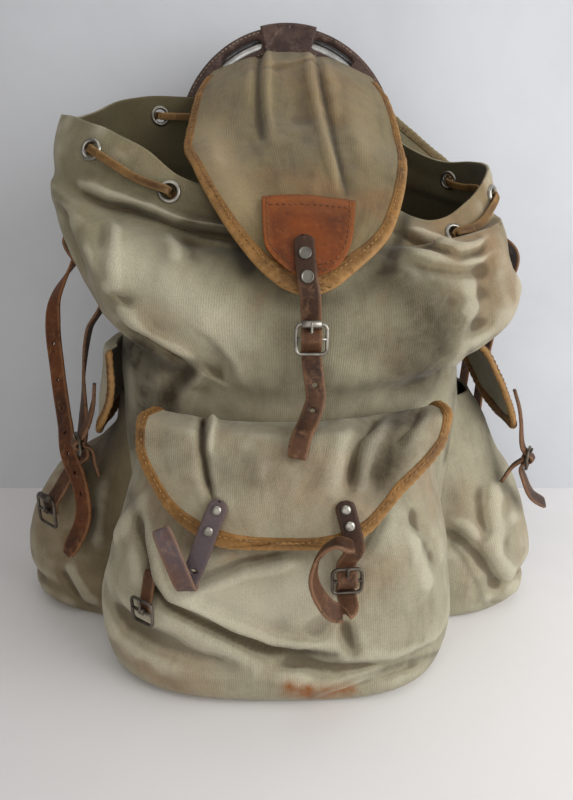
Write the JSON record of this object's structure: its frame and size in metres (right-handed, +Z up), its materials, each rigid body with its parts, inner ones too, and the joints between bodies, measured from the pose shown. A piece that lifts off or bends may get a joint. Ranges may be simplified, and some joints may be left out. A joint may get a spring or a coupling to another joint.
{
  "type": "frame backpack",
  "caption": "Old canvas rucksack on a bent steel tube frame, with leather binding, straps, buckles, a top flap and three pockets, standing slumped and empty.",
  "frame": {"origin": "middle of the floor under the whole pack, at the height the base stands on", "axes": "+Z up, the front with its flap strap and front pocket faces -Y, the wearer's back is at +Y, +X to the right seen from the front"},
  "size_m": [0.4306, 0.32, 0.4721],
  "materials": {
    "canvas": "matt",
    "trim": "worn satin",
    "strap": "worn satin",
    "steel": "satin"
  },
  "bodies": {
    "root": {"bag_body": "canvas", "eyelet_01": "steel", "eyelet_02": "steel", "eyelet_03": "steel", "eyelet_04": "steel", "eyelet_05": "steel", "eyelet_06": "steel", "eyelet_07": "steel", "eyelet_08": "steel", "eyelet_09": "steel", "eyelet_10": "steel", "eyelet_11": "steel", "eyelet_12": "steel", "drawcord": "trim", "front_pocket": "canvas", "side_pocket_left": "canvas", "side_pocket_right": "canvas", "front_pocket_flap": "canvas", "front_pocket_flap_binding": "trim", "side_pocket_flap_left": "canvas", "side_pocket_flap_left_binding": "trim", "side_pocket_flap_right": "canvas", "side_pocket_flap_right_binding": "trim", "top_flap": "canvas", "top_flap_binding": "trim", "flap_patch": "trim", "frame_tube": "steel", "yoke": "strap", "arch_loop": "strap", "back_panel": "canvas", "back_panel_binding_left": "trim", "back_panel_binding_right": "trim", "flap_strap": "strap", "flap_buckle": "steel", "flap_buckle_tab": "strap", "flap_rivet_upper": "steel", "flap_rivet_lower": "steel", "pocket_strap_left": "strap", "pocket_rivet_left_upper": "steel", "pocket_rivet_left_lower": "steel", "pocket_buckle_left": "steel", "pocket_buckle_tab_left": "strap", "pocket_strap_right": "strap", "pocket_rivet_right_upper": "steel", "pocket_rivet_right_lower": "steel", "pocket_buckle_right": "steel", "pocket_buckle_tab_right": "strap", "side_strap_left": "strap", "side_buckle_left": "steel", "side_buckle_tab_left": "strap", "side_strap_right": "strap", "side_buckle_right": "steel", "side_buckle_tab_right": "strap", "shoulder_strap_left": "strap", "strap_buckle_left": "steel", "billet_left": "strap", "shoulder_strap_right": "strap", "strap_buckle_right": "steel", "billet_right": "strap"}
  },
  "joints": []
}
